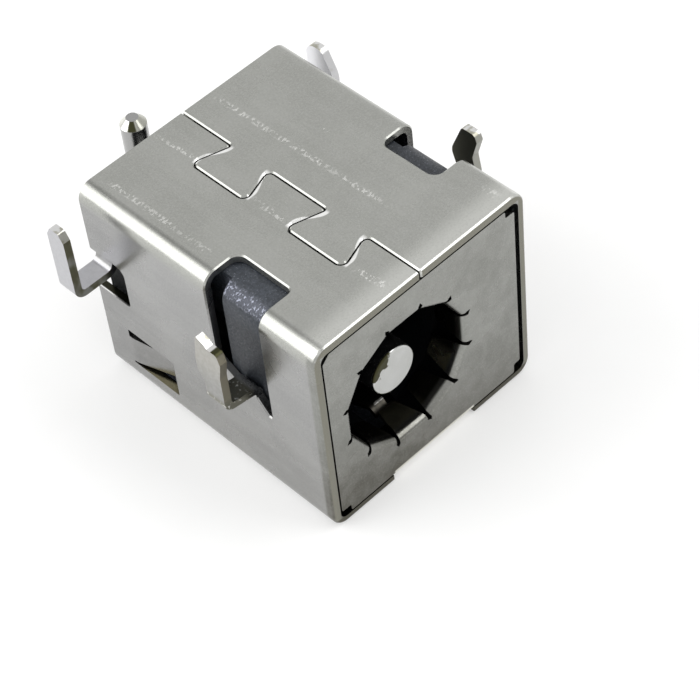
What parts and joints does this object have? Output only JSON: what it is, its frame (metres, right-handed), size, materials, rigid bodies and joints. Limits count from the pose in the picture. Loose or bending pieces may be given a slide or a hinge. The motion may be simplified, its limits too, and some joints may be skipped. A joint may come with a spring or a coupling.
{
  "type": "dc power jack",
  "caption": "Shielded dc barrel jack: folded sheet shield with dovetail seam, star-shaped plug hole, bent snap legs, moulded housing, centre pin and leaf spring.",
  "frame": {"origin": "middle of the shield's flat panel opposite the dovetail seam, which the jack stands on", "axes": "+X across the jack, -Y out of the plug socket, +Z towards the seamed panel and the way the solder legs point"},
  "size_m": [0.0126, 0.0133, 0.0088],
  "materials": {
    "plated_sheet": "satin nickel plate",
    "housing_plastic": "matt, slightly grainy",
    "plated_pin": "nickel plated",
    "spring_bronze": "bare bronze, satin"
  },
  "bodies": {
    "root": {"shield": "plated_sheet", "housing": "housing_plastic", "centre_pin": "plated_pin", "sleeve_spring": "spring_bronze"}
  },
  "joints": []
}
